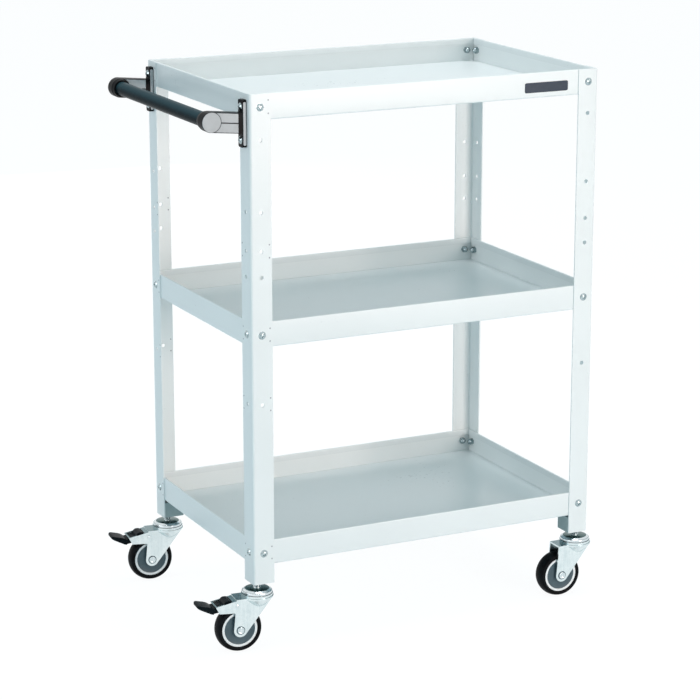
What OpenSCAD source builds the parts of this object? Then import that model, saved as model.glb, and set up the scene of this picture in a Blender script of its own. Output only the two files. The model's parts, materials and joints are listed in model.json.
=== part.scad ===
// Three-tray steel tool cart on four swivel casters, with a push handle at its left end.
// Millimetres. X runs along the cart, Y across it, Z up; the floor is z = 0.
// The origin lies on the floor, below the middle of the cart's overall length and width.

/* [Cart] */
// Length of a tray over its walls
tray_length = 600; // [450:10:900]
// Width of a tray over its walls
tray_width = 400; // [300:10:600]
// Length of the four corner posts
post_length = 770; // [700:10:900]

/* [Posts] */
// Width of each flange of the angle
flange_w = 35; // [32:1:42]
// Thickness of the angle's steel
post_sheet = 2; // [1.6:0.2:2.8]
// Outside radius of the angle's bend
post_bend_r = 4; // [3.2:0.2:5]
// Distance of the bolt holes from the outside corner
hole_inset = 17.5; // [16:0.5:19]
// Radius of the bolt holes
hole_r = 3.3; // [3.2:0.05:3.5]

/* [Trays] */
// Height of a tray's walls
tray_depth = 40; // [35:1:50]
// Thickness of the tray's steel
tray_sheet = 1.2; // [1:0.1:1.5]
// Outside radius of the bend between floor and wall
tray_bend_r = 2.5; // [2:0.1:4]
// Depth of the hem folded in along the top of a wall
hem_drop = 10; // [6:0.5:12]
// Outside radius of the rolled edge
hem_r = 1.6; // [1.6:0.1:2.4]
// Distance of a tray's screws below its rim
screw_drop = 20; // [18:0.5:22]
// Height of the lowest tray's floor above the ends of the posts
bottom_tray_lift = 30; // [30:1:60]

/* [Fasteners] */
// Radius of an M6 shank
bolt_r = 2.95; // [2.9:0.01:2.97]
// Radius of a screw's head
bolt_head_r = 6.3; // [5.5:0.1:6.5]
// Height of a screw's domed head
bolt_head_h = 3.2; // [2.6:0.1:3.6]
// Width across the flats of a cap nut
nut_flats = 10; // [9:0.5:10]
// Height of a cap nut's hexagon
nut_hex_h = 5; // [4:0.5:6]

/* [Handle] */
// Distance of the grip's axis from the posts' outer face
handle_reach = 57; // [50:1:75]
// Height of the grip's axis above the middle of the bracket's base
handle_rise = 6; // [2:1:8]
// Distance between the bracket's two bolts
handle_bolt_pitch = 50; // [46:1:54]
// Thickness of the bracket's base
base_t = 7; // [5:0.5:9]
// Width of the bracket's base and arm
base_w = 16; // [14:0.5:18]
// Height of the bracket's base
base_h = 72; // [70:1:80]
// Radius of the arm's round end, which is half its height
arm_r = 15.5; // [14:0.5:16]
// Length of the collar that takes the grip's end
collar_l = 8; // [6:0.5:12]
// Outside radius of the grip
grip_r = 11.3; // [10.5:0.1:12.5]
// Outside radius of the steel tube in the grip
tube_r = 9.5; // [9:0.1:10]
// Wall of the steel tube
tube_wall = 1.5; // [1:0.1:2]

/* [Caster] */
// Diameter of the wheel
wheel_d = 75; // [65:1:85]
// Width of the tyre
tyre_w = 24; // [22:0.5:25]
// Outside radius of the wheel's rim
rim_r = 28.9; // [27:0.1:30]
// Inside radius of the wheel's rim
rim_inner_r = 24.9; // [22:0.1:25.5]
// Distance from the swivel's axis to the axle
trail = 32; // [28:1:38]
// Height of the fork's crown above the tyre
crown_gap = 13.5; // [12:0.5:15]
// Thickness of the fork's steel
fork_sheet = 2.5; // [2:0.1:2.7]
// Clear width inside the fork
fork_gap = 26; // [26:0.5:28]
// Radius of the fork's crown disc
crown_r = 26; // [26:0.5:28]
// Height of the cup that is pressed up in the crown for the balls
cup_h = 4; // [3.5:0.1:5]
// Radius of the swivel head above the crown
head_r = 24; // [23:0.5:25]
// Height of the swivel head
head_h = 7; // [6.5:0.5:9]
// Radius of the bearing balls
ball_r = 2.5; // [2.2:0.1:2.6]
// Radius of the circle that the balls run on
race_r = 17; // [16:0.5:18]
// Number of balls in a bearing
ball_count = 14; // [10:1:16]
// Radius of the stem and of the swivel's pin
stem_r = 6; // [5:0.5:6]
// Bare length of the stem between the head and its seat
stem_reach = 10; // [8:0.5:16]
// Distance of the swivel's axis from the post's side face, along the cart
stem_inset_x = 12.5; // [12:0.5:18]
// Distance of the swivel's axis from the post's front or back face
stem_inset_y = 17.5; // [16:0.5:19]
// Radius of the axle
axle_r = 4; // [3.5:0.1:4.5]
// Angle that the brake casters are turned from straight
caster_turn = 6; // [0:1:15]

/* [Brake] */
// Angle that the pedal is pressed through
pedal_travel = 12; // [8:1:12]
// Width of the pedal's paddle
paddle_w = 28; // [26:0.5:30]
// Thickness of the shoe that the pedal presses on the tyre
shoe_t = 2.5; // [2:0.1:2.6]
// Radius of the pedal's pin
pedal_pin_r = 1.75; // [1.5:0.05:1.8]

/* [Hidden] */
$fn = 72;
slack = 0.05; // radial clearance of pieces that are fitted tight or turn on each other
gap = 0.3; // distance between faces that pass each other
wall_over = 1; // how far a cut runs past the face it starts from
tuck = 0.03; // how far inside an arc the straight edge that runs into it ends

// Heights
wheel_r = wheel_d / 2;
crown_top = wheel_d + crown_gap;
cup_top = crown_top + cup_h;
race_gap = 0.5;
race_z = cup_top + race_gap / 2;
head_z = cup_top + race_gap;
head_top = head_z + head_h;
post_z = head_top + stem_reach;
tray_pitch = (post_length - bottom_tray_lift - tray_depth) / 2;
handle_z = post_length - screw_drop - handle_bolt_pitch / 2;

// Plan
outer_x = tray_length / 2 + post_sheet;
outer_y = tray_width / 2 + post_sheet;
post_inner_r = post_bend_r - post_sheet;
wall_slit = 1;

// Rows of holes in the posts, as distances below the top
tray_rows = [for (i = [0:2]) screw_drop + i * tray_pitch];
spare_rows = [for (step = [-190, -130, -90, 110]) tray_rows[1] + step];
handle_row = screw_drop + handle_bolt_pitch;

// Fasteners
nut_r = nut_flats / 2 / cos(30);
nut_dome_r = nut_flats / 2 - 0.4;
thread_l = 6;
nut_bore_l = thread_l + tray_sheet + 0.5;
stem_nut_r = 11;
stem_nut_h = 10;

// Handle bracket, measured outwards from the post's face and up from the base's middle
arm_root_rise = 1;
arm_angle = atan((handle_rise - arm_root_rise) / (handle_reach - base_t));
arm_outer_y = hole_inset - base_w / 2;
arm_inner_y = arm_outer_y + base_w;
collar_end_y = arm_inner_y + collar_l;
cuff_l = 7;
trim_t = 1.2;
trim_edge = 1.2;
trim_groove = 1.6;
trim_seam = 0.8;
trim_disc_r = arm_r - 0.6;
socket_l = base_w + collar_l - 6;

// Caster seat
seat_sheet = 3;
seat_h = 26;

// Fork, measured from the axle: u outwards along the trail, v up
crown_v = crown_top - wheel_r;
leg_r = 11;
leg_back_u = 6;
leg_front_x = 7 - crown_r;
leg_front_drop = 4;
fork_w = fork_gap + 2 * fork_sheet;
arm_end_u = wheel_r + 2.5;
arm_slope = 8.5;
arm_bottom_v = crown_v - 21.5;
arm_bend_x = crown_r + 2;
cup_r = crown_r - 1;
slot_u = 12;
shoulder_h = 12.5;
shoulder_r = fork_w / 2;

// Brake
pin_u = 5.5;
pin_v = wheel_r + 3.7;
hub_r = 3.4;
lever_w = fork_gap - 2;
shoe_w = 20;
shoe_gap = 0.4;
pin_head_r = 3.2;
pin_head_h = 1.2;
paddle_tip_u = arm_end_u + 29.3;

// Shift that centres the whole cart, from the pedals' tips to the right casters' crowns
cart_shift = (trail + paddle_tip_u - crown_r) / 2;

// Corners: the side along x, the side along y and the angle its caster is turned back from the left
front_left = [-1, -1, -caster_turn];
back_left = [-1, 1, -caster_turn];
front_right = [1, -1, 0];
back_right = [1, 1, 0];

// Point where a line from p touches the circle of radius r round c; side is 1 or -1
function tangent_point(p, c, r, side) =
    let (d = p - c, reach = atan2(d.y, d.x) + side * acos(r / norm(d)))
    c + r * [cos(reach), sin(reach)];

// Places a corner piece: x and y run inwards from the post's outside corner, z up from its end
module at_corner(corner) {
    translate([cart_shift, 0, 0])
        mirror([corner.x > 0 ? 1 : 0, 0, 0])
            mirror([0, corner.y > 0 ? 1 : 0, 0])
                translate([-outer_x, -outer_y, post_z]) children();
}

// Places a caster piece: z is the swivel's axis, x runs along the trail, the floor is z = 0
module at_caster(corner) {
    axis = [outer_x - stem_inset_x, outer_y - stem_inset_y];
    translate([cart_shift + corner.x * axis.x, corner.y * axis.y, 0])
        rotate([0, 0, 180 + corner.z]) children();
}

// Places a tray piece on the cart's centre line, at the floor of tray number i from the top
module at_tray(i) {
    translate([cart_shift, 0, post_z + post_length - tray_depth - i * tray_pitch]) children();
}

// Turns a drawing (x, z) into a slab of width w, centred on y = 0
module slab(w) {
    rotate([90, 0, 0]) linear_extrude(w, center = true) children();
}

module rounded_rectangle(w, h, r) {
    square([w - 2 * r, h], center = true);
    square([w, h - 2 * r], center = true);
    for (x = [-1, 1], y = [-1, 1])
        translate([x * (w / 2 - r), y * (h / 2 - r)]) circle(r);
}

module ring(outer, inner) {
    difference() {
        circle(outer);
        circle(inner);
    }
}

// Low spherical cap of radius r and height h, standing on z = 0
module dome(r, h) {
    sphere_r = (r * r + h * h) / (2 * h);
    intersection() {
        translate([0, 0, h - sphere_r]) sphere(sphere_r);
        cylinder(r = r, h = h);
    }
}

// ---- posts -----------------------------------------------------------------

module angle_section() {
    difference() {
        union() {
            translate([post_bend_r, 0]) square([flange_w - post_bend_r, flange_w]);
            translate([0, post_bend_r]) square([flange_w, flange_w - post_bend_r]);
            translate([post_bend_r, post_bend_r]) circle(post_bend_r);
        }
        translate([post_bend_r, post_sheet]) square(flange_w);
        translate([post_sheet, post_bend_r]) square(flange_w);
        translate([post_bend_r, post_bend_r]) circle(post_inner_r);
    }
}

// One hole through each flange, at the height z = 0
module hole_pair() {
    translate([hole_inset, post_sheet + wall_over, 0])
        rotate([90, 0, 0]) cylinder(r = hole_r, h = post_sheet + 2 * wall_over);
    translate([-wall_over, hole_inset, 0])
        rotate([0, 90, 0]) cylinder(r = hole_r, h = post_sheet + 2 * wall_over);
}

module post() {
    color("whitesmoke") difference() {
        linear_extrude(post_length) angle_section();
        for (row = concat(tray_rows, spare_rows, [handle_row]))
            translate([0, 0, post_length - row]) hole_pair();
    }
}

// ---- trays -----------------------------------------------------------------

// Section of a tray's wall: x = 0 is its outer face, the tray lies towards -x, y is up
module wall_section() {
    translate([-tray_bend_r, tray_bend_r]) intersection() {
        ring(tray_bend_r, tray_bend_r - tray_sheet);
        translate([0, -tray_bend_r]) square(tray_bend_r);
    }
    translate([-tray_sheet, tray_bend_r]) square([tray_sheet, tray_depth - tray_bend_r - hem_r]);
    translate([-hem_r, tray_depth - hem_r]) intersection() {
        ring(hem_r, hem_r - tray_sheet);
        translate([-hem_r, 0]) square([2 * hem_r, hem_r]);
    }
    translate([-2 * hem_r, tray_depth - hem_drop]) square([tray_sheet, hem_drop - hem_r]);
}

// Folded pan: a floor and four hemmed walls with open slits at the corners
module tray() {
    long_wall = tray_length - 2 * (post_inner_r + wall_slit / 2);
    short_wall = tray_width - 2 * (2 * hem_r + wall_slit);
    color("gainsboro") difference() {
        union() {
            translate([tray_bend_r - tray_length / 2, tray_bend_r - tray_width / 2, 0])
                cube([tray_length - 2 * tray_bend_r, tray_width - 2 * tray_bend_r, tray_sheet]);
            for (turn = [0, 180]) rotate(turn) {
                translate([-long_wall / 2, tray_width / 2, 0])
                    rotate([90, 0, 90]) linear_extrude(long_wall) wall_section();
                translate([tray_length / 2, short_wall / 2, 0])
                    rotate([90, 0, 0]) linear_extrude(short_wall) wall_section();
            }
        }
        for (side = [-1, 1]) translate([0, 0, tray_depth - screw_drop]) {
            translate([side * (outer_x - hole_inset), 0, 0])
                rotate([90, 0, 0]) cylinder(r = hole_r, h = tray_width + 2 * wall_over, center = true);
            translate([0, side * (outer_y - hole_inset), 0])
                rotate([0, 90, 0]) cylinder(r = hole_r, h = tray_length + 2 * wall_over, center = true);
        }
    }
}

// ---- fasteners -------------------------------------------------------------

// Truss-head screw: the head stands on z = 0 and the shank runs down for length l
module screw(l) {
    recess_l = 6;
    recess_w = 1.1;
    recess_depth = 1.6;
    difference() {
        dome(bolt_head_r, bolt_head_h);
        for (turn = [0, 90]) rotate(turn)
            translate([-recess_l / 2, -recess_w / 2, bolt_head_h - recess_depth])
                cube([recess_l, recess_w, recess_depth + wall_over]);
    }
    translate([0, 0, -l]) cylinder(r = bolt_r, h = l);
}

// Domed cap nut that stands on z = 0 and opens downwards
module cap_nut() {
    difference() {
        union() {
            cylinder(r = nut_r, h = nut_hex_h, $fn = 6);
            translate([0, 0, nut_hex_h]) intersection() {
                sphere(nut_dome_r);
                cylinder(r = nut_r, h = nut_r);
            }
        }
        translate([0, 0, -wall_over]) cylinder(r = bolt_r + slack, h = nut_bore_l + wall_over);
    }
}

// Places a fastener on the two flanges of a post at the height of a row: z points outwards
module on_front_flange(row) {
    translate([hole_inset, 0, post_length - row]) rotate([90, 0, 0]) children();
}

module on_side_flange(row) {
    translate([0, hole_inset, post_length - row]) rotate([0, -90, 0]) children();
}

module tray_screws() {
    screw_l = post_sheet + tray_sheet + thread_l;
    color("silver") for (corner = [front_left, front_right, back_left, back_right], i = [0:2])
        at_corner(corner) {
            on_front_flange(tray_rows[i]) screw(screw_l);
            if (i > 0 || corner.x > 0) on_side_flange(tray_rows[i]) screw(screw_l);
        }
}

module handle_bolts() {
    bolt_l = base_t + post_sheet + tray_sheet + thread_l;
    color("silver") for (corner = [front_left, back_left], row = [tray_rows[0], handle_row])
        at_corner(corner) on_side_flange(row) translate([0, 0, base_t]) screw(bolt_l);
}

module cap_nuts() {
    color("silver") {
        for (corner = [front_left, front_right, back_left, back_right], row = tray_rows)
            at_corner(corner) {
                on_front_flange(row)
                    translate([0, 0, -post_sheet - tray_sheet]) mirror([0, 0, 1]) cap_nut();
                on_side_flange(row)
                    translate([0, 0, -post_sheet - tray_sheet]) mirror([0, 0, 1]) cap_nut();
            }
        for (corner = [front_left, back_left])
            at_corner(corner) on_side_flange(handle_row)
                translate([0, 0, -post_sheet]) mirror([0, 0, 1]) cap_nut();
    }
}

// ---- push handle -----------------------------------------------------------

// Turns a side view of the bracket (outwards, up) into a slab from y = y0, t thick
module bracket_slab(y0, t) {
    translate([0, y0, handle_z]) rotate([90, 0, 180]) linear_extrude(t) children();
}

// Side view of the arm, drawn in by edge all round
module arm_outline(edge) {
    half = arm_r - edge;
    tip = [handle_reach, handle_rise];
    high = [base_t - wall_over, arm_root_rise + half];
    low = [base_t - wall_over, arm_root_rise - half];
    polygon([
        high, tangent_point(high, tip, half - tuck, -1),
        tip, tangent_point(low, tip, half - tuck, 1), low
    ]);
    translate(tip) circle(half);
}

module handle_bracket() {
    color([0.12, 0.12, 0.13]) difference() {
        union() {
            translate([0, hole_inset, handle_z]) rotate([0, -90, 0])
                linear_extrude(base_t) rounded_rectangle(base_h, base_w, 3);
            bracket_slab(arm_outer_y, base_w) arm_outline(0);
            translate([-handle_reach, arm_inner_y - wall_over, handle_z + handle_rise])
                rotate([-90, 0, 0]) cylinder(r1 = arm_r - 0.3, r2 = arm_r - 1.5, h = collar_l + wall_over);
        }
        translate([-handle_reach, collar_end_y - socket_l, handle_z + handle_rise])
            rotate([-90, 0, 0]) cylinder(r = tube_r + slack, h = socket_l + wall_over);
        for (side = [-1, 1])
            translate([-base_t - wall_over, hole_inset, handle_z + side * handle_bolt_pitch / 2])
                rotate([0, 90, 0]) cylinder(r = hole_r, h = base_t + 2 * wall_over);
    }
}

// Two panels with a groove between them, which cover the straight part of the arm
module arm_panels() {
    difference() {
        arm_outline(trim_edge);
        translate([handle_reach, handle_rise]) circle(trim_disc_r + trim_seam);
        translate([0, -2 * arm_r]) square([base_t + cuff_l, 4 * arm_r]);
        translate([base_t, arm_root_rise]) rotate(arm_angle)
            translate([0, -trim_groove / 2]) square([handle_reach, trim_groove]);
        translate([handle_reach, -2 * arm_r]) square(4 * arm_r);
    }
}

module handle_trim() {
    strip_w = base_t - 2.2;
    strip_h = base_h - 6.5;
    strip_r = 0.45 * strip_w;
    color("lightgray") {
        bracket_slab(arm_outer_y - trim_t, trim_t) {
            arm_panels();
            translate([handle_reach, handle_rise]) circle(trim_disc_r);
        }
        bracket_slab(arm_inner_y, trim_t) arm_panels();
        for (y0 = [arm_outer_y - trim_t, arm_inner_y])
            bracket_slab(y0, trim_t)
                translate([base_t / 2, 0]) rounded_rectangle(strip_w, strip_h, strip_r);
    }
}

// Places a round piece on the grip's axis: z runs along the axis, centred on the cart
module on_grip_axis() {
    translate([cart_shift - outer_x - handle_reach, 0, post_z + handle_z + handle_rise])
        rotate([-90, 0, 0]) children();
}

module handle_tube() {
    tube_l = 2 * (outer_y - collar_end_y + socket_l - gap);
    color("dimgray") on_grip_axis()
        linear_extrude(tube_l, center = true) ring(tube_r, tube_r - tube_wall);
}

module handle_grip() {
    grip_l = 2 * (outer_y - collar_end_y - slack);
    color("darkslategray") on_grip_axis()
        linear_extrude(grip_l, center = true) ring(grip_r, tube_r + slack);
}

// ---- caster seats ----------------------------------------------------------

// Folded plate that closes the end of a post and carries the caster's stem
module caster_seat() {
    color("lightslategray") difference() {
        union() {
            translate([post_sheet, post_sheet, 0])
                cube([flange_w - post_sheet, flange_w - post_sheet, seat_sheet]);
            translate([flange_w - seat_sheet, post_sheet, 0])
                cube([seat_sheet, flange_w - post_sheet, seat_h]);
            translate([post_sheet, flange_w - seat_sheet, 0])
                cube([flange_w - post_sheet, seat_sheet, seat_h]);
        }
        translate([stem_inset_x, stem_inset_y, -wall_over])
            cylinder(r = stem_r + slack, h = seat_sheet + 2 * wall_over);
        rotate(45) cube(2 * post_bend_r + post_sheet, center = true);
    }
}

module caster_nuts() {
    color("silver") for (corner = [front_left, front_right, back_left, back_right])
        at_corner(corner) translate([stem_inset_x, stem_inset_y, seat_sheet]) difference() {
            rotate(30) cylinder(r = stem_nut_r, h = stem_nut_h, $fn = 6);
            translate([0, 0, -wall_over]) cylinder(r = stem_r + slack, h = stem_nut_h + 2 * wall_over);
        }
}

// ---- swivel ----------------------------------------------------------------

// Threaded stem and, in one piece with it, the swivel's pin and its riveted foot
module caster_stem() {
    foot_r = 10;
    foot_h = 3;
    foot_z = crown_top - fork_sheet - gap - foot_h;
    stem_top = post_z + seat_sheet + stem_nut_h + 1;
    color("silver") {
        translate([0, 0, foot_z]) cylinder(r = foot_r, h = foot_h);
        translate([0, 0, foot_z]) cylinder(r = stem_r, h = stem_top - foot_z - 1);
        translate([0, 0, stem_top - 1]) cylinder(r1 = stem_r, r2 = stem_r - 1, h = 1);
    }
}

// Circle of the balls' section, in the drawing of a revolved piece
module race_section(r) {
    translate([race_r, race_z]) circle(r);
}

// Bevelled cap that holds the upper race
module caster_head() {
    rim_h = head_h - 3;
    rim_round = 1.2;
    color("silver") rotate_extrude() difference() {
        union() {
            translate([0, head_z]) square([head_r, rim_h - rim_round]);
            translate([0, head_z]) square([head_r - rim_round, rim_h]);
            translate([head_r - rim_round, head_z + rim_h - rim_round]) circle(rim_round);
            translate([0, head_z]) polygon([
                [0, rim_h], [head_r - rim_round, rim_h], [head_r - 4.5, head_h - 0.5],
                [head_r - 6, head_h], [0, head_h]
            ]);
        }
        translate([-head_r, 0]) square([head_r, 2 * head_top]);
        translate([-1, head_z - 1]) square([stem_r + slack + 1, head_h + 2]);
        race_section(ball_r + gap);
    }
}

module bearing_balls() {
    color("silver") for (i = [0:ball_count - 1]) rotate(i * 360 / ball_count)
        translate([race_r, 0, race_z]) sphere(ball_r);
}

// ---- forks -----------------------------------------------------------------

// Side view of the legs, from the crown to the axle
module leg_outline() {
    axle = [trail, wheel_r];
    back_top = [trail + leg_back_u, crown_top];
    front_low = [leg_front_x, crown_top - leg_front_drop];
    translate(axle) circle(leg_r);
    polygon([
        back_top,
        tangent_point(back_top, axle, leg_r - tuck, -1),
        axle,
        tangent_point(front_low, axle, leg_r - tuck, 1),
        front_low,
        [leg_front_x, crown_top]
    ]);
}

// Side view of the two arms that carry a brake pedal
module brake_arm_outline() {
    corner_r = 4;
    under = [trail + leg_back_u + corner_r, wheel_r + arm_bottom_v];
    difference() {
        union() {
            polygon([
                [0, crown_top],
                [arm_bend_x, crown_top],
                [trail + arm_end_u, crown_top - arm_slope],
                [trail + arm_end_u - 6, wheel_r + arm_bottom_v + 1.5],
                under,
                [under.x - corner_r - 2, under.y],
                [0, wheel_r + arm_bottom_v]
            ]);
            translate([trail, under.y - corner_r]) square([leg_back_u + corner_r, corner_r + wall_over]);
        }
        translate([under.x + 1, under.y - corner_r]) circle(corner_r);
        translate([-trail, 0]) square([trail, crown_top]);
    }
}

// Hollow under the crown: everything between the legs
module fork_hollow(has_brake) {
    low = -wall_over;
    slope = has_brake ? arm_slope / (trail + arm_end_u - arm_bend_x) : 0;
    end_x = trail + arm_end_u + wall_over;
    tie_x = trail + arm_end_u - 2.5;
    polygon([
        [-2 * crown_r, low],
        [-2 * crown_r, crown_top - fork_sheet],
        [arm_bend_x, crown_top - fork_sheet],
        [trail + slot_u, crown_top - fork_sheet - slope * (trail + slot_u - arm_bend_x)],
        [trail + slot_u, crown_top + wall_over],
        [tie_x, crown_top + wall_over],
        [tie_x, crown_top - fork_sheet - slope * (tie_x - arm_bend_x)],
        [end_x, crown_top - fork_sheet - slope * (end_x - arm_bend_x)],
        [end_x, low]
    ]);
}

// Pressed fork: crown disc with its race, flared shoulders, two legs and, with a brake, its arms
module fork(has_brake) {
    color("lightsteelblue") difference() {
        union() {
            difference() {
                union() {
                    slab(fork_w) leg_outline();
                    if (has_brake) slab(fork_w) brake_arm_outline();
                    intersection() {
                        translate([0, 0, crown_top - fork_sheet - shoulder_h]) difference() {
                            cylinder(r1 = shoulder_r, r2 = crown_r, h = shoulder_h);
                            cylinder(r1 = shoulder_r - fork_sheet, r2 = crown_r - fork_sheet,
                                h = shoulder_h);
                        }
                        slab(2 * crown_r) leg_outline();
                    }
                }
                slab(fork_gap) fork_hollow(has_brake);
            }
            translate([0, 0, crown_top - fork_sheet]) cylinder(r = crown_r, h = fork_sheet);
            translate([0, 0, crown_top]) cylinder(r = cup_r, h = cup_h);
        }
        translate([0, 0, crown_top - 2 * fork_sheet])
            cylinder(r = stem_r + slack, h = cup_h + 3 * fork_sheet);
        rotate_extrude() race_section(ball_r + slack);
        translate([trail, 0, wheel_r]) rotate([90, 0, 0])
            cylinder(r = axle_r + slack, h = fork_w + 2 * wall_over, center = true);
        if (has_brake) translate([trail + pin_u, 0, wheel_r + pin_v]) rotate([90, 0, 0])
            cylinder(r = pedal_pin_r + slack, h = fork_w + 2 * wall_over, center = true);
    }
}

// Pin along y with a low round head at each end
module riveted_pin(r, l, rivet_r, rivet_h) {
    rotate([90, 0, 0]) cylinder(r = r, h = l, center = true);
    for (turn = [0, 180]) rotate(turn)
        translate([0, -l / 2, 0]) rotate([90, 0, 0]) dome(rivet_r, rivet_h);
}

module axle() {
    color("silver") translate([trail, 0, wheel_r]) riveted_pin(axle_r, fork_w, 7, 1.8);
}

// ---- wheels ----------------------------------------------------------------

// Turns a drawing (radius, width) round the axle
module on_axle() {
    translate([trail, 0, wheel_r]) rotate([90, 0, 0]) rotate_extrude() children();
}

module wheel_core() {
    hub_w = fork_gap - 2 * gap;
    rim_w = tyre_w - 3;
    web_w = 6;
    color("white") on_axle() {
        bore = axle_r + slack;
        translate([bore, -hub_w / 2]) square([8.5 - bore, hub_w]);
        translate([bore, -web_w / 2]) square([rim_r - bore, web_w]);
        translate([rim_inner_r, -rim_w / 2]) square([rim_r - rim_inner_r, rim_w]);
    }
}

// Two dished discs that close the sides of the wheel
module wheel_covers() {
    face = tyre_w / 2 - 1.9;
    dish = 0.9;
    cover_t = 1.4;
    color("slategray") for (side = [-1, 1]) on_axle() scale([1, side]) polygon([
        [8.8, face], [13, face - dish], [rim_inner_r - 4, face - dish], [rim_inner_r - slack, face],
        [rim_inner_r - slack, face - cover_t], [rim_inner_r - 4, face - dish - cover_t],
        [13, face - dish - cover_t], [8.8, face - cover_t]
    ]);
}

// Solid tyre with a crowned tread
module tyre() {
    sag = 3;
    crown = (tyre_w * tyre_w / 4 + sag * sag) / (2 * sag);
    color([0.1, 0.1, 0.11]) on_axle() intersection() {
        translate([rim_r + slack, -tyre_w / 2]) square([wheel_r, tyre_w]);
        translate([wheel_r - crown, 0]) circle(crown);
        union() {
            translate([0, -tyre_w / 2 + 1]) square([wheel_r, tyre_w - 2]);
            translate([rim_r + 2, -tyre_w / 2]) square([wheel_r, tyre_w]);
        }
    }
}

// ---- brakes ----------------------------------------------------------------

// Turns a drawing in the braked position into the released one, about the pedal's pin
module released() {
    pin = [pin_u, pin_v];
    translate(pin) rotate(pedal_travel) translate(-pin) children();
}

// Side view of the lever between the arms, measured from the axle
module lever_outline() {
    top_v = pin_v + hub_r;
    hump_v = crown_v - 1.2;
    difference() {
        union() {
            translate([pin_u, pin_v]) circle(hub_r);
            polygon([
                [pin_u, top_v], [slot_u + 0.8, top_v], [slot_u + 1, hump_v - 3], [slot_u + 2.2, hump_v - 0.9],
                [slot_u + 4.5, hump_v], [slot_u + 9, hump_v], [slot_u + 11.8, hump_v - 1.2],
                [slot_u + 13.4, hump_v - 3.4], [slot_u + 15, crown_v - 9.5],
                [arm_end_u + 3, crown_v - 11.3], [arm_end_u + 3, crown_v - 19.5],
                [slot_u + 12, crown_v - 16.5], [slot_u, pin_v - 2], [pin_u, pin_v - 2]
            ]);
        }
        released() circle(wheel_r + shoe_gap + shoe_t + slack);
    }
}

// Side view of the paddle beyond the arms
module paddle_outline() {
    polygon([
        [arm_end_u + 3, crown_v - 11.3], [arm_end_u + 7, crown_v - 8.6], [arm_end_u + 12, crown_v - 6.6],
        [arm_end_u + 18, crown_v - 5.2], [paddle_tip_u - 6, crown_v - 3.9],
        [paddle_tip_u - 2.6, crown_v - 3.4], [paddle_tip_u - 0.8, crown_v - 4],
        [paddle_tip_u, crown_v - 5.6], [paddle_tip_u - 0.6, crown_v - 7.4],
        [paddle_tip_u - 2.4, crown_v - 8.8], [arm_end_u + 20, crown_v - 12.4],
        [arm_end_u + 12, crown_v - 16.4], [arm_end_u + 7, crown_v - 19], [arm_end_u + 3, crown_v - 20]
    ]);
}

module brake_pedal() {
    corner_r = 7;
    color([0.13, 0.13, 0.14]) difference() {
        union() {
            translate([trail, 0, wheel_r]) slab(lever_w) lever_outline();
            intersection() {
                translate([trail, 0, wheel_r]) slab(paddle_w) paddle_outline();
                translate([trail + arm_end_u - 10, 0, wheel_r]) linear_extrude(crown_v)
                    translate([(paddle_tip_u - arm_end_u + 10) / 2, 0])
                        rounded_rectangle(paddle_tip_u - arm_end_u + 10, paddle_w, corner_r);
            }
        }
        translate([trail + pin_u, 0, wheel_r + pin_v]) rotate([90, 0, 0])
            cylinder(r = pedal_pin_r + slack, h = fork_w, center = true);
    }
}

// Curved shoe under the lever, which meets the tyre when the pedal is down
module brake_shoe() {
    color("gray") translate([trail, 0, wheel_r]) slab(shoe_w) released() intersection() {
        ring(wheel_r + shoe_gap + shoe_t, wheel_r + shoe_gap);
        polygon([[0, 0], 2 * wheel_r * [sin(20), cos(20)], 2 * wheel_r * [sin(45), cos(45)]]);
    }
}

module brake_pin() {
    color("silver") translate([trail + pin_u, 0, wheel_r + pin_v])
        riveted_pin(pedal_pin_r, fork_w, pin_head_r, pin_head_h);
}

// ---- assembly --------------------------------------------------------------

at_corner(front_left) post();  // post_front_left
at_corner(front_right) post();  // post_front_right
at_corner(back_left) post();  // post_back_left
at_corner(back_right) post();  // post_back_right

at_tray(0) tray();  // tray_top
at_tray(1) tray();  // tray_middle
at_tray(2) tray();  // tray_bottom
tray_screws();
cap_nuts();

at_corner(front_left) handle_bracket();  // handle_bracket_front
at_corner(back_left) handle_bracket();  // handle_bracket_back
at_corner(front_left) handle_trim();  // handle_trim_front
at_corner(back_left) handle_trim();  // handle_trim_back
handle_tube();
handle_grip();
handle_bolts();

at_corner(front_left) caster_seat();  // caster_seat_front_left
at_corner(front_right) caster_seat();  // caster_seat_front_right
at_corner(back_left) caster_seat();  // caster_seat_back_left
at_corner(back_right) caster_seat();  // caster_seat_back_right
caster_nuts();

at_caster(front_left) caster_stem();  // caster_stem_front_left
at_caster(front_right) caster_stem();  // caster_stem_front_right
at_caster(back_left) caster_stem();  // caster_stem_back_left
at_caster(back_right) caster_stem();  // caster_stem_back_right

at_caster(front_left) caster_head();  // caster_head_front_left
at_caster(front_right) caster_head();  // caster_head_front_right
at_caster(back_left) caster_head();  // caster_head_back_left
at_caster(back_right) caster_head();  // caster_head_back_right

at_caster(front_left) bearing_balls();  // bearing_balls_front_left
at_caster(front_right) bearing_balls();  // bearing_balls_front_right
at_caster(back_left) bearing_balls();  // bearing_balls_back_left
at_caster(back_right) bearing_balls();  // bearing_balls_back_right

at_caster(front_left) fork(true);  // fork_front_left
at_caster(front_right) fork(false);  // fork_front_right
at_caster(back_left) fork(true);  // fork_back_left
at_caster(back_right) fork(false);  // fork_back_right

at_caster(front_left) axle();  // axle_front_left
at_caster(front_right) axle();  // axle_front_right
at_caster(back_left) axle();  // axle_back_left
at_caster(back_right) axle();  // axle_back_right

at_caster(front_left) wheel_core();  // wheel_core_front_left
at_caster(front_right) wheel_core();  // wheel_core_front_right
at_caster(back_left) wheel_core();  // wheel_core_back_left
at_caster(back_right) wheel_core();  // wheel_core_back_right

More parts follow.
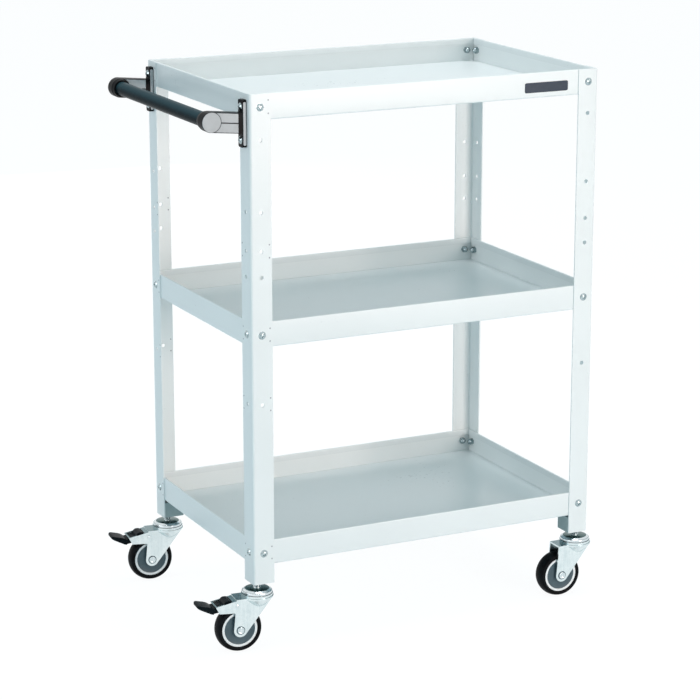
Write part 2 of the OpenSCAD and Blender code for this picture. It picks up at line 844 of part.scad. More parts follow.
at_caster(front_left) wheel_covers();  // wheel_covers_front_left
at_caster(front_right) wheel_covers();  // wheel_covers_front_right
at_caster(back_left) wheel_covers();  // wheel_covers_back_left
at_caster(back_right) wheel_covers();  // wheel_covers_back_right

at_caster(front_left) tyre();  // tyre_front_left
at_caster(front_right) tyre();  // tyre_front_right
at_caster(back_left) tyre();  // tyre_back_left
at_caster(back_right) tyre();  // tyre_back_right

at_caster(front_left) brake_pedal();  // brake_pedal_front_left
at_caster(back_left) brake_pedal();  // brake_pedal_back_left
at_caster(front_left) brake_shoe();  // brake_shoe_front_left
at_caster(back_left) brake_shoe();  // brake_shoe_back_left
at_caster(front_left) brake_pin();  // brake_pin_front_left
at_caster(back_left) brake_pin();  // brake_pin_back_left
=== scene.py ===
"""Dresses the three-tray tool cart: coated steel, plated casters and a moulded push handle."""

import json
import logging
import math
from dataclasses import dataclass, field
from enum import Enum
from typing import Sequence, Union

import bmesh
import bpy
import numpy as np
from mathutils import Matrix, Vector


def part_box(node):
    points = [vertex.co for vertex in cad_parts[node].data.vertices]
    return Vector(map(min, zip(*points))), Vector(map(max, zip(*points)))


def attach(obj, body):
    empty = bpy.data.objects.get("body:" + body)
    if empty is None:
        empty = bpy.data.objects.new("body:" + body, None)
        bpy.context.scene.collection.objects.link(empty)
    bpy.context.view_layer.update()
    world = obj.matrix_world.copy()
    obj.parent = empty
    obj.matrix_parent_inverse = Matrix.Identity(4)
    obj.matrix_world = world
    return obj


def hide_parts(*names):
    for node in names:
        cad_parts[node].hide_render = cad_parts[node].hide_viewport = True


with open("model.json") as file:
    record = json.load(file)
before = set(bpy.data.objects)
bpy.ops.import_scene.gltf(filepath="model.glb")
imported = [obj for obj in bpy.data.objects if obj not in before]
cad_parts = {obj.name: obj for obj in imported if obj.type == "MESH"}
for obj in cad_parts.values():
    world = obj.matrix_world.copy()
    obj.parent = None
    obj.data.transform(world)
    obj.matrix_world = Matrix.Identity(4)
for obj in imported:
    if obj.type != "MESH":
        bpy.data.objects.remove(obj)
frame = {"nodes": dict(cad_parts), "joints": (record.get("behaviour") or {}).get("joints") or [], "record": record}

LOG = logging.getLogger("tool_cart")
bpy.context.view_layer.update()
CORNERS = ("front_left", "front_right", "back_left", "back_right")
TIERS = ("top", "middle", "bottom")
MM = 0.001
FULL_TURN = 2 * math.pi
# Metres: points nearer than WELD are joined, faces thinner than SLIVER and repeated points go.
WELD = 2e-6
SLIVER = 1e-7
SAME_POINT = 1e-9
# Degrees: edges flatter than FLAT are removed, those sharper than CREASE stay sharp.
FLAT = 0.6
CREASE = 35.0
# The share of a side that the curve of one corner may take.
CURVE_LIMIT = 0.499
# The middle of a noise, and the steps that turn it into soft or rarer patches.
NOISE_MIDDLE = 0.5
CLOUD_BAND = (0.3, 0.7)
PATCH_BAND = (0.35, 0.75)
Number = Union[int, float, "Value"]
Colour = tuple[float, float, float]
Point = tuple[float, float, float]
Tone = Union[Colour, bpy.types.NodeSocket]
WHITE: Colour = (1.0, 1.0, 1.0)


# ---- shader maths ----


class Value:
    """A number socket that adds Math nodes to its tree when it is used in an expression."""

    def __init__(self, tree: bpy.types.NodeTree, socket: bpy.types.NodeSocket) -> None:
        """Wraps a socket.

        Args:
            tree: the node tree.
            socket: one of its output sockets.
        """
        self.tree = tree
        self.socket = socket

    def _math(self, operation: str, *terms: Number) -> "Value":
        """Adds one Math node.

        Args:
            operation: the Math node's operation.
            terms: its inputs, in order, as numbers or values.

        Returns:
            The node's result.
        """
        node = self.tree.nodes.new("ShaderNodeMath")
        node.operation = operation
        for place, term in zip(node.inputs, terms):
            if isinstance(term, Value):
                self.tree.links.new(term.socket, place)
            else:
                place.default_value = term
        return Value(self.tree, node.outputs[0])

    def __add__(self, other: Number) -> "Value":
        """self + other."""
        return self._math("ADD", self, other)

    def __radd__(self, other: Number) -> "Value":
        """other + self."""
        return self._math("ADD", other, self)

    def __sub__(self, other: Number) -> "Value":
        """self - other."""
        return self._math("SUBTRACT", self, other)

    def __rsub__(self, other: Number) -> "Value":
        """other - self."""
        return self._math("SUBTRACT", other, self)

    def __mul__(self, other: Number) -> "Value":
        """self * other."""
        return self._math("MULTIPLY", self, other)

    def size(self) -> "Value":
        """Returns the number without its sign."""
        return self._math("ABSOLUTE", self)

    def band(self, low: float, high: float) -> "Value":
        """Makes a smooth step.

        Args:
            low: where the step starts.
            high: where it ends.

        Returns:
            0 up to low, 1 from high on.
        """
        node = self.tree.nodes.new("ShaderNodeMapRange")
        node.interpolation_type = "SMOOTHSTEP"
        self.tree.links.new(self.socket, node.inputs["Value"])
        node.inputs["From Min"].default_value = low
        node.inputs["From Max"].default_value = high
        return Value(self.tree, node.outputs["Result"])


@dataclass(frozen=True)
class Grain:
    """Soft noise: the width of its features in metres, its finer layers and their strength.

    Swing is how far it moves a roughness, stretch how much finer it is along each axis.
    """

    size: float
    detail: float = 2.0
    rough: float = 0.5
    swing: float = 0.0
    stretch: Point = (1.0, 1.0, 1.0)


class Shader:
    """One material under construction."""

    def __init__(self, name: str) -> None:
        """Starts an empty node material.

        Args:
            name: its name.
        """
        self.material = bpy.data.materials.new(name)
        self.material.use_nodes = True
        self.tree = self.material.node_tree
        self.tree.nodes.clear()

    def node(self, kind: str, settings: dict[str, object] | None = None,
             **sockets: object) -> bpy.types.Node:
        """Adds a node.

        Args:
            kind: the node's type.
            settings: properties that are set first.
            sockets: input names, with _ for a space, and their values, nodes' sockets or Values.

        Returns:
            The node.
        """
        made = self.tree.nodes.new(kind)
        for key, what in (settings or {}).items():
            setattr(made, key, what)
        for key, what in sockets.items():
            place = made.inputs[key.replace("_", " ")]
            if isinstance(what, Value):
                self.tree.links.new(what.socket, place)
            elif isinstance(what, bpy.types.NodeSocket):
                self.tree.links.new(what, place)
            else:
                place.default_value = what
        return made

    def place(self) -> bpy.types.NodeSocket:
        """Returns the object coordinates, in metres in the cart's frame."""
        return self.node("ShaderNodeTexCoord").outputs["Object"]

    def axes(self) -> tuple[Value, Value, Value]:
        """Returns the three object coordinates, each as a value."""
        parts = self.node("ShaderNodeSeparateXYZ", Vector=self.place())
        return tuple(Value(self.tree, parts.outputs[axis]) for axis in "XYZ")

    def upward(self) -> Value:
        """Returns the height of the face's normal: 1 on faces that look up, 0 on upright ones."""
        normal = self.node("ShaderNodeNewGeometry").outputs["True Normal"]
        parts = self.node("ShaderNodeSeparateXYZ", Vector=normal)
        return Value(self.tree, parts.outputs["Z"])

    def noise(self, grain: Grain) -> Value:
        """Adds soft noise.

        Args:
            grain: its size and character.

        Returns:
            A value round NOISE_MIDDLE.
        """
        mapped = self.node("ShaderNodeMapping", Vector=self.place(),
                           Scale=tuple(s / grain.size for s in grain.stretch))
        made = self.node("ShaderNodeTexNoise", {"noise_dimensions": "3D"}, Scale=1.0,
                         Vector=mapped.outputs[0], Detail=grain.detail, Roughness=grain.rough)
        return Value(self.tree, made.outputs["Fac"])

    def blend(self, mask: Value, low: Tone, high: Tone) -> bpy.types.NodeSocket:
        """Mixes two colours.

        Args:
            mask: 0 for low and 1 for high.
            low: linear colour, or a socket that gives one.
            high: linear colour, or a socket that gives one.

        Returns:
            The colour socket.
        """
        made = self.node("ShaderNodeMix", {"data_type": "RGBA"})
        self.tree.links.new(mask.socket, made.inputs["Factor"])
        for place, tone in ((made.inputs[6], low), (made.inputs[7], high)):
            if isinstance(tone, bpy.types.NodeSocket):
                self.tree.links.new(tone, place)
            else:
                place.default_value = (*tone, 1.0)
        return made.outputs[2]

    def uneven(self, middle: float, *parts: tuple[Value, Grain]) -> Value:
        """Lets a number vary over the surface.

        Args:
            middle: the number.
            parts: noises, each with the grain that gives its swing.

        Returns:
            The varying number.
        """
        total: Number = middle
        for noise, grain in parts:
            total = total + (noise - NOISE_MIDDLE) * grain.swing
        return total

    def relief(self, height: Value, depth: float) -> bpy.types.NodeSocket:
        """Adds a bump.

        Args:
            height: the relief, from 0 to 1.
            depth: its depth in metres.

        Returns:
            The bumped normal.
        """
        made = self.node("ShaderNodeBump", Height=height, Distance=depth, Strength=1.0)
        return made.outputs["Normal"]

    def finish(self, **sockets: object) -> bpy.types.Material:
        """Adds the surface shader.

        Args:
            sockets: its inputs.

        Returns:
            The material.
        """
        skin = self.node("ShaderNodeBsdfPrincipled", **sockets)
        self.node("ShaderNodeOutputMaterial", Surface=skin.outputs[0])
        return self.material


# ---- finishes ----


@dataclass(frozen=True)
class PowderCoat:
    """Baked white coat on sheet steel, with a faint orange peel.

    The last six fields place the painted shadow under the trays' hems and the painted shade on them.
    """

    colour: Colour = (0.812, 0.856, 0.854)
    shade: float = 0.97
    gloss: float = 0.30
    shine: float = 0.5
    cloud: Grain = Grain(0.16, 3.0, swing=0.06)
    cloud_share: float = 0.75
    speck: Grain = Grain(0.006, 4.0, 0.6, 0.10)
    peel: Grain = Grain(0.0022, 2.0, 0.45)
    peel_depth: float = 0.0000025
    hem_shade: Colour | None = None
    hem_depth: float = 10.0 * MM
    hem_shade_share: float = 0.12
    wall: float = 1.2 * MM
    shadow_drop: float = 2.6 * MM
    soft: float = 0.4 * MM

    def hem_shadows(self, s: Shader) -> Value:
        """Marks painted shade on and under the hems on the inner side of the trays' walls.

        Args:
            s: the material under construction.

        Returns:
            1 just under the hems, a painted shadow, and a small share on the hems themselves, painted shade.
        """
        soft = self.soft
        x, y, z = s.axes()
        total: Value | None = None
        for tier in TIERS:
            low, high = ends(f"tray_{tier}")
            middle, half = (low + high) / 2, (high - low) / 2 - self.wall
            edge = float(high[2]) - self.hem_depth
            rim = edge + self.hem_depth
            # Painted shadow just under the hem, and painted shade on the hem band.
            under = z.band(edge - self.shadow_drop, edge - soft) * (1 - z.band(edge - soft, edge + soft))
            fold_shade = z.band(edge - soft, edge + soft) * (1 - z.band(rim, rim + soft)) * self.hem_shade_share
            within = [1 - (axis - float(centre)).size().band(float(reach) - soft, float(reach))
                      for axis, centre, reach in ((x, middle[0], half[0]), (y, middle[1], half[1]))]
            mark = (under + fold_shade) * (within[0] * within[1])
            total = mark if total is None else total + mark
        return total

    def make(self, name: str) -> bpy.types.Material:
        """Makes the material; with a hem colour, painted shade shows on the hems and a painted shadow under them.

        Args:
            name: its name.

        Returns:
            The material.
        """
        s = Shader(name)
        cloud, peel, speck = (s.noise(grain) for grain in (self.cloud, self.peel, self.speck))
        deep = tuple(c * self.shade for c in self.colour)
        patches = cloud.band(*CLOUD_BAND) * self.cloud_share + speck * (1 - self.cloud_share)
        tone = s.blend(patches, deep, self.colour)
        # Painted shade on the hems and painted shadow under them.
        if self.hem_shade is not None:
            tone = s.blend(self.hem_shadows(s), tone, self.hem_shade)
        rough = s.uneven(self.gloss, (speck, self.speck), (cloud, self.cloud))
        return s.finish(Base_Color=tone, Roughness=rough, Normal=s.relief(peel, self.peel_depth),
                        Specular_IOR_Level=self.shine)


@dataclass(frozen=True)
class Plating:
    """Zinc or nickel on pressed steel, faintly cloudy and slightly blue, with a painted dark reflection on the
    faces that look up.
    """

    bright: Colour = (0.75, 0.83, 0.84)
    dull: Colour = (0.62, 0.72, 0.74)
    top: Colour = (0.17, 0.26, 0.28)
    top_shading_from: float = 0.45
    top_shading_full: float = 0.95
    gloss: float = 0.24
    cloud: Grain = Grain(0.016, 4.0, 0.6, 0.12)
    cloud_share: float = 0.65
    draw: Grain = Grain(0.0035, stretch=(1.0, 1.0, 0.06))
    grain: Grain = Grain(0.0011, 3.0, 0.6, 0.12)
    grain_depth: float = 0.000008

    def make(self, name: str) -> bpy.types.Material:
        """Makes the material; the draw marks run up and down.

        Args:
            name: its name.

        Returns:
            The material.
        """
        s = Shader(name)
        cloud, grain, draw = (s.noise(kind) for kind in (self.cloud, self.grain, self.draw))
        patches = (cloud.band(*CLOUD_BAND) * self.cloud_share
                   + draw.band(*CLOUD_BAND) * (1 - self.cloud_share))
        tone = s.blend(patches, self.dull, self.bright)
        # Painted dark reflection: the faces that look up take the top colour.
        tone = s.blend(s.upward().band(self.top_shading_from, self.top_shading_full), tone, self.top)
        rough = s.uneven(self.gloss, (cloud, self.cloud), (grain, self.grain))
        return s.finish(Base_Color=tone, Metallic=1.0, Roughness=rough,
                        Normal=s.relief(grain, self.grain_depth))


@dataclass(frozen=True)
class Moulding:
    """Moulded plastic with a fine spark-eroded grain."""

    colour: Colour = (0.008, 0.01, 0.012)
    worn: Colour = (0.016, 0.019, 0.022)
    gloss: float = 0.42
    cloud: Grain = Grain(0.02, 3.0, swing=0.10)
    cloud_share: float = 0.7
    grain: Grain = Grain(0.0008, 2.0, 0.6, 0.08)
    grain_depth: float = 0.00002
    shine: float = 0.5
    top: Colour | None = None
    top_shading_from: float = -0.15
    top_shading_full: float = 0.75
    top_shading_swirl: float = 0.1

    def make(self, name: str) -> bpy.types.Material:
        """Makes the material; with a top colour, the faces that look up take it as a painted highlight.

        Args:
            name: its name.

        Returns:
            The material.
        """
        s = Shader(name)
        grain, cloud = s.noise(self.grain), s.noise(self.cloud)
        patches = cloud.band(*PATCH_BAND) * self.cloud_share + grain * (1 - self.cloud_share)
        tone = s.blend(patches, self.colour, self.worn)
        # A top colour is a painted highlight on the faces that look up.
        if self.top is not None:
            facing = s.upward() + (cloud - NOISE_MIDDLE) * self.top_shading_swirl
            tone = s.blend(facing.band(self.top_shading_from, self.top_shading_full), tone, self.top)
        rough = s.uneven(self.gloss, (cloud, self.cloud), (grain, self.grain))
        return s.finish(Base_Color=tone, Roughness=rough, Normal=s.relief(grain, self.grain_depth),
                        Specular_IOR_Level=self.shine)


@dataclass(frozen=True)
class Rubber:
    """Solid tyre rubber with a little bloom."""

    colour: Colour = (0.003, 0.0035, 0.004)
    bloom: Colour = (0.008, 0.010, 0.012)
    gloss: float = 0.48
    shine: float = 0.05
    patches: Grain = Grain(0.014, 4.0, 0.6, 0.18)
    pores: Grain = Grain(0.0006, 3.0, 0.6, 0.06)
    pore_depth: float = 0.00002

    def make(self, name: str) -> bpy.types.Material:
        """Makes the material.

        Args:
            name: its name.

        Returns:
            The material.
        """
        s = Shader(name)
        bloom, pores = s.noise(self.patches), s.noise(self.pores)
        tone = s.blend(bloom.band(*PATCH_BAND), self.colour, self.bloom)
        rough = s.uneven(self.gloss, (bloom, self.patches), (pores, self.pores))
        return s.finish(Base_Color=tone, Roughness=rough, Normal=s.relief(pores, self.pore_depth),
                        Specular_IOR_Level=self.shine)


class Finish(Enum):
    """The cart's finishes, by the piece that they suit."""

    COAT = PowderCoat()
    # The trays' coat, with painted shade on their hems and a painted shadow under them.
    PAN = PowderCoat(hem_shade=(0.44, 0.50, 0.52))
    # A darker grey coat for the pips on the posts.
    RUBBED = PowderCoat(colour=(0.42, 0.43, 0.46), shade=0.9)
    ZINC = Plating()
    # The head's top colour is a dark painted reflection of the post above it.
    HEAD = Plating(bright=(0.74, 0.80, 0.82), dull=(0.56, 0.64, 0.67), top=(0.045, 0.11, 0.11),
                   gloss=0.2, top_shading_from=0.82)
    STEM = Plating(bright=(0.62, 0.68, 0.70), dull=(0.46, 0.53, 0.55), top=(0.3, 0.38, 0.4),
                   gloss=0.2)
    BRIGHT = Plating(bright=(0.46, 0.54, 0.56), dull=(0.16, 0.23, 0.25), top=(0.3, 0.38, 0.4),
                     gloss=0.13, cloud=Grain(0.0035, 4.0, 0.6, 0.12))
    SCREW = Plating(bright=(0.62, 0.71, 0.73), dull=(0.20, 0.28, 0.30), top=(0.5, 0.58, 0.6),
                    gloss=0.12, cloud=Grain(0.003, 4.0, 0.6, 0.12))
    RIVET = Plating(bright=(0.72, 0.80, 0.82), dull=(0.50, 0.59, 0.62), top=(0.3, 0.38, 0.4),
                    gloss=0.26, cloud=Grain(0.012, 4.0, 0.6, 0.12))
    # The rings under the axle's rivet heads take this near-black finish as painted shade.
    COLLAR = Plating(bright=(0.10, 0.15, 0.17), dull=(0.05, 0.08, 0.10), top=(0.1, 0.15, 0.17),
                     gloss=0.3)
    SEAT = Moulding(colour=(0.34, 0.42, 0.42), worn=(0.40, 0.48, 0.48), shine=0.3,
                    grain=Grain(0.002, 2.0, 0.6, 0.08))
    BRACKET = Moulding(colour=(0.003, 0.004, 0.005), worn=(0.007, 0.009, 0.010), gloss=0.34,
                       shine=0.05)
    PANEL = Moulding(colour=(0.41, 0.43, 0.44), worn=(0.47, 0.49, 0.50), gloss=0.36, shine=0.3)
    # The grip's top colour is a painted highlight along its upper side.
    GRIP = Moulding(colour=(0.004, 0.011, 0.014), worn=(0.007, 0.016, 0.020), gloss=0.24,
                    grain=Grain(0.0012, 2.0, 0.6, 0.08), grain_depth=0.000012, shine=0.012,
                    top=(0.022, 0.054, 0.066))
    RING = Moulding(colour=(0.88, 0.90, 0.90), worn=(0.91, 0.93, 0.93), gloss=0.32)
    DISC = Moulding(colour=(0.060, 0.096, 0.115), worn=(0.078, 0.120, 0.138), gloss=0.34, shine=0.3)
    PEDAL = Moulding(colour=(0.003, 0.006, 0.008), worn=(0.007, 0.012, 0.015), gloss=0.34,
                     shine=0.04)
    TYRE = Rubber()
    PLATE = Moulding(colour=(0.040, 0.055, 0.078), worn=(0.052, 0.068, 0.092), gloss=0.25,
                     grain_depth=0.000004, shine=0.15)


# ---- surfaces ----


@dataclass(frozen=True)
class Place:
    """A point on the cart with three directions at right angles: out, across and up."""

    centre: np.ndarray
    out: np.ndarray
    across: np.ndarray
    up: np.ndarray

    def world(self, local: np.ndarray) -> np.ndarray:
        """Moves points to the cart's frame.

        Args:
            local: points as (out, across, up), in metres.

        Returns:
            The same points in the cart's frame.
        """
        return self.centre + local @ np.stack([self.out, self.across, self.up])


def shown(name: str, mesh: bpy.types.Mesh, crease: float) -> bpy.types.Object:
    """Puts a mesh in the scene, smooth between its sharp edges.

    Args:
        name: the piece's name.
        mesh: its mesh.
        crease: edges sharper than this angle, in degrees, stay sharp.

    Returns:
        The object.
    """
    mesh.polygons.foreach_set("use_smooth", np.ones(len(mesh.polygons), bool))
    mesh.set_sharp_from_angle(angle=math.radians(crease))
    piece = bpy.data.objects.new(name, mesh)
    bpy.context.scene.collection.objects.link(piece)
    return piece


def smooth_mesh(name: str, verts: np.ndarray, quads: np.ndarray,
                crease: float = CREASE) -> bpy.types.Object:
    """Makes an object from a surface, closes its seams and poles and turns its faces outwards.

    Args:
        name: the piece's name.
        verts: points, n by 3, in metres.
        quads: corner numbers, m by 4 or m by 3.
        crease: edges sharper than this angle, in degrees, stay sharp.

    Returns:
        The object.
    """
    mesh = bpy.data.meshes.new(name)
    mesh.from_pydata(verts.reshape(-1, 3).tolist(), [], quads.tolist())
    shape = bmesh.new()
    shape.from_mesh(mesh)
    bmesh.ops.remove_doubles(shape, verts=shape.verts, dist=WELD)
    bmesh.ops.dissolve_degenerate(shape, edges=shape.edges, dist=SLIVER)
    bmesh.ops.recalc_face_normals(shape, faces=shape.faces)
    shape.to_mesh(mesh)
    shape.free()
    return shown(name, mesh, crease)


def grid_faces(rows: int, columns: int, wrap_rows: bool = False) -> np.ndarray:
    """Numbers the quads of a grid of points whose last column joins the first.

    Args:
        rows: the number of rows.
        columns: the number of points in a row.
        wrap_rows: the last row joins the first too.

    Returns:
        The corners of each quad.
    """
    i = np.arange(rows if wrap_rows else rows - 1)[:, None]
    j = np.arange(columns)[None, :]
    i2, j2 = (i + 1) % rows, (j + 1) % columns
    corners = [i * columns + j, i2 * columns + j, i2 * columns + j2, i * columns + j2]
    return np.stack([np.broadcast_to(c, (i.size, j.size)) for c in corners], -1).reshape(-1, 4)


def around(steps: int) -> np.ndarray:
    """Divides a full turn.

    Args:
        steps: the number of angles.

    Returns:
        The angles, in radians, from 0 up.
    """
    return np.linspace(0, FULL_TURN, steps, endpoint=False)


def rounded_path(corners: Sequence[Point], steps: int = 5, closed: bool = True) -> np.ndarray:
    """Rounds the corners of a path by quadratic curves that start and end r away from them.

    Args:
        corners: (x, y, r) of each corner.
        steps: pieces of each curve.
        closed: the path returns to its start.

    Returns:
        Points, n by 2.
    """
    points = np.array([c[:2] for c in corners], float)
    radii = np.array([c[2] for c in corners], float)
    back, ahead = np.roll(points, 1, 0) - points, np.roll(points, -1, 0) - points
    length_back = np.linalg.norm(back, axis=1)
    length_ahead = np.linalg.norm(ahead, axis=1)
    reach = np.minimum(radii, CURVE_LIMIT * np.minimum(length_back, length_ahead))
    if not closed:
        reach[[0, -1]] = 0.0
    start = points + back * (reach / length_back)[:, None]
    end = points + ahead * (reach / length_ahead)[:, None]
    t = np.linspace(0, 1, steps + 1)[None, :, None]
    middle = points[:, None]
    curve = (1 - t) ** 2 * start[:, None] + 2 * t * (1 - t) * middle + t ** 2 * end[:, None]
    flat = curve.reshape(-1, 2)
    keep = np.ones(len(flat), bool)
    keep[1:] = np.linalg.norm(np.diff(flat, axis=0), axis=1) > SAME_POINT
    return flat[keep]


def revolve(name: str, place: Place, profile: np.ndarray, steps: int) -> bpy.types.Object:
    """Turns a closed profile round the place's across direction.

    The point (radius r, offset w) at the angle a lies at r cos a out, w across and r sin a up.

    Args:
        name: the piece's name.
        place: centre and directions.
        profile: points (radius, offset), in metres.
        steps: facets round the turn.

    Returns:
        The object.
    """
    angle = around(steps)[:, None]
    radius, offset = profile[None, :, 0], profile[None, :, 1]
    local = np.stack([radius * np.cos(angle), np.broadcast_to(offset, (steps, len(profile))),
                      radius * np.sin(angle)], -1)
    faces = grid_faces(steps, len(profile), wrap_rows=True)
    return smooth_mesh(name, place.world(local.reshape(-1, 3)), faces)


def turned(name: str, shells: Sequence[np.ndarray], crease: float = CREASE) -> bpy.types.Object:
    """Closes surfaces of rings into one object.

    Args:
        name: the piece's name.
        shells: surfaces of one size, each as rows by columns by 3.
        crease: edges sharper than this angle, in degrees, stay sharp.

    Returns:
        The object.
    """
    rows, columns = shells[0].shape[:2]
    quads = grid_faces(rows, columns)
    faces = np.concatenate([quads + i * rows * columns for i in range(len(shells))])
    return smooth_mesh(name, np.stack(shells), faces, crease)


# ---- pieces ----


@dataclass
class Workshop:
    """Dresses the cart's nodes and the pieces that stand for them."""

    paints: dict[Finish, bpy.types.Material] = field(default_factory=dict)
    crease: float = 30.0

    def paint(self, finish: Finish) -> bpy.types.Material:
        """Looks up a material, and makes it at the first call.

        Args:
            finish: the finish.

        Returns:
            Its material.
        """
        if finish not in self.paints:
            self.paints[finish] = finish.value.make(f"{finish.name.lower()}_finish")
        return self.paints[finish]

    def dress(self, piece: bpy.types.Object, finish: Finish) -> None:
        """Gives a piece one finish all over.

        Args:
            piece: the piece.
            finish: its finish.
        """
        piece.data.materials.clear()
        piece.data.materials.append(self.paint(finish))

    def node(self, node: str, finish: Finish) -> None:
        """Gives a carried-over node its finish.

        Args:
            node: the node.
            finish: its finish.
        """
        target = frame["nodes"][node]
        if not target.material_slots:
            target.data.materials.append(self.paint(finish))
        for slot in target.material_slots:
            slot.link = "OBJECT"
            slot.material = self.paint(finish)
        LOG.info("node %s in %s", node, finish.name)

    def softened(self, node: str, finish: Finish, width: float, segments: int = 2) -> None:
        """Replaces a node by a copy of itself with its sharp edges slightly rounded.

        Args:
            node: the node.
            finish: its finish.
            width: the width of the rounding, in metres.
            segments: facets across the rounding.
        """
        mesh = frame["nodes"][node].data.copy()
        mesh.name = f"{node}_soft"
        shape = bmesh.new()
        shape.from_mesh(mesh)
        bmesh.ops.remove_doubles(shape, verts=shape.verts, dist=WELD)
        bmesh.ops.dissolve_limit(shape, angle_limit=math.radians(FLAT), verts=shape.verts,
                                 edges=shape.edges)
        shape.to_mesh(mesh)
        shape.free()
        if "custom_normal" in mesh.attributes:
            mesh.attributes.remove(mesh.attributes["custom_normal"])
        piece = shown(f"{node}_soft", mesh, self.crease)
        rounding = piece.modifiers.new("edges", "BEVEL")
        rounding.limit_method = "ANGLE"
        rounding.angle_limit = math.radians(self.crease)
        rounding.width = width
        rounding.segments = segments
        rounding.harden_normals = True
        rounding.use_clamp_overlap = True
        self.dress(piece, finish)
        self.stand_for(piece, node)

    def stand_for(self, piece: bpy.types.Object, node: str) -> None:
        """Lets a piece replace a node on the node's own body.

        Args:
            piece: the piece.
            node: the node.
        """
        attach(piece, body_of(node))
        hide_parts(node)
        slot_of(node)
        LOG.info("piece %s stands for %s", piece.name, node)


def body_of(node: str) -> str:
    """Finds a node's body.

    Args:
        node: the node.

    Returns:
        The body that holds it.
    """
    bodies = frame["record"]["behaviour"]["bodies"]
    return next(name for name, nodes in bodies.items() if node in nodes)


def slot_of(node: str) -> str:
    """Finds a node's material slot.

    Args:
        node: the node.

    Returns:
        The slot that the record gives it.
    """
    return next(s["material_slot"] for s in frame["record"]["subparts"] if s["node"] == node)


def joint(name: str) -> dict:
    """Finds a joint.

    Args:
        name: its name.

    Returns:
        The record's joint.
    """
    return next(j for j in frame["joints"] if j["name"] == name)


def ends(node: str) -> tuple[np.ndarray, np.ndarray]:
    """Measures a node.

    Args:
        node: the node.

    Returns:
        The lowest and the highest corner of its box, in metres.
    """
    low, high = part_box(node)
    return np.array(low, float), np.array(high, float)


@dataclass
class TrussScrews:
    """The trays' truss-head screws with cross recesses, built where the node's solids stand."""

    shop: Workshop
    node: str = "tray_screws"
    columns: int = 72
    shank: float = 3.0 * MM
    chamfer: float = 0.6 * MM
    lip: float = 0.12 * MM
    recess_reach: float = 3.2 * MM
    recess_half: float = 0.8 * MM
    recess_depth: float = 1.8 * MM
    recess_soft: float = 0.3 * MM
    recess_taper: float = 0.3
    spin_step: float = 0.9
    rim_share: float = 0.95
    edge_share: float = 0.985
    coarse_to: float = 3.8 * MM
    fine_from: float = 3.6 * MM
    coarse_rows: int = 7
    fine_rows: int = 19

    def solids(self) -> list[np.ndarray]:
        """Returns the points of each separate solid of the node."""
        shape = bmesh.new()
        shape.from_mesh(frame["nodes"][self.node].data)
        bmesh.ops.remove_doubles(shape, verts=shape.verts, dist=WELD)
        left, found = set(shape.verts), []
        while left:
            edge, members = [left.pop()], []
            while edge:
                vert = edge.pop()
                members.append(vert.co[:])
                near = {link.other_vert(vert) for link in vert.link_edges} & left
                left -= near
                edge.extend(near)
            found.append(np.array(members))
        shape.free()
        return sorted(found, key=lambda points: tuple(np.round(points.mean(0), 4)))

    def slot(self, u: np.ndarray, v: np.ndarray) -> np.ndarray:
        """Marks a slot along u.

        Args:
            u: the first coordinate of each point.
            v: the second.

        Returns:
            1 inside the slot and 0 outside.
        """
        return (np.clip((self.recess_reach - np.abs(u)) / self.recess_soft, 0, 1)
                * np.clip((self.recess_half - np.abs(v)) / self.recess_soft, 0, 1))

    def surface(self, points: np.ndarray, spin: float) -> np.ndarray:
        """Makes one screw.

        The head is a cap of the sphere of radius (r^2 + h^2) / 2h. The recess is the union of two
        crossed slots.

        Args:
            points: the points of the screw's solid.
            spin: the angle of the recess, in radians.

        Returns:
            Points, rows by columns by 3.
        """
        low, high = points.min(0), points.max(0)
        size, middle = high - low, (low + high) / 2
        along = 0 if abs(size[1] - size[2]) < abs(size[0] - size[2]) else 1
        reach = size[2] / 2
        side = np.linalg.norm(np.delete(points - middle, along, 1), axis=1)
        rim = float(np.median(points[side > self.rim_share * reach][:, along]))
        sign = 1.0 if rim > middle[along] else -1.0
        top, tip = (high[along], low[along]) if sign > 0 else (low[along], high[along])
        rise, depth = abs(top - rim), abs(rim - tip)
        ball = (reach ** 2 + rise ** 2) / (2 * rise)
        dome = np.concatenate([
            np.linspace(reach * self.edge_share, self.coarse_to, self.coarse_rows),
            np.linspace(self.fine_from, 0.0, self.fine_rows)])
        skirt = np.array([
            (0.0, -depth), (self.shank - self.chamfer, -depth), (self.shank, self.chamfer - depth),
            (self.shank, 0.0), (reach, 0.0), (reach, self.lip)])
        cap = rise - ball + np.sqrt(ball ** 2 - dome ** 2)
        radius = np.concatenate([skirt[:, 0], dome])[:, None]
        height = np.concatenate([skirt[:, 1], cap])[:, None]
        turn = around(self.columns)[None, :]
        x, y = radius * np.cos(turn - spin), radius * np.sin(turn - spin)
        taper = 1 - self.recess_taper * radius / self.recess_reach
        cross = np.maximum(self.slot(x, y), self.slot(y, x)) * taper
        cross[:len(skirt)] = 0.0
        local = height - self.recess_depth * cross
        out, across, up = np.zeros(3), np.zeros(3), np.array([0.0, 0.0, 1.0])
        out[along], across[1 - along] = sign, 1.0
        centre = middle.copy()
        centre[along] = rim
        spread = (radius * np.cos(turn))[..., None] * across
        climb = (radius * np.sin(turn))[..., None] * up
        return centre + spread + climb + local[..., None] * out

    def build(self) -> None:
        """Builds all the screws as one piece."""
        shells = [self.surface(points, self.spin_step * i)
                  for i, points in enumerate(self.solids())]
        piece = turned(f"{self.node}_crossed", shells)
        self.shop.dress(piece, Finish.SCREW)
        self.shop.stand_for(piece, self.node)


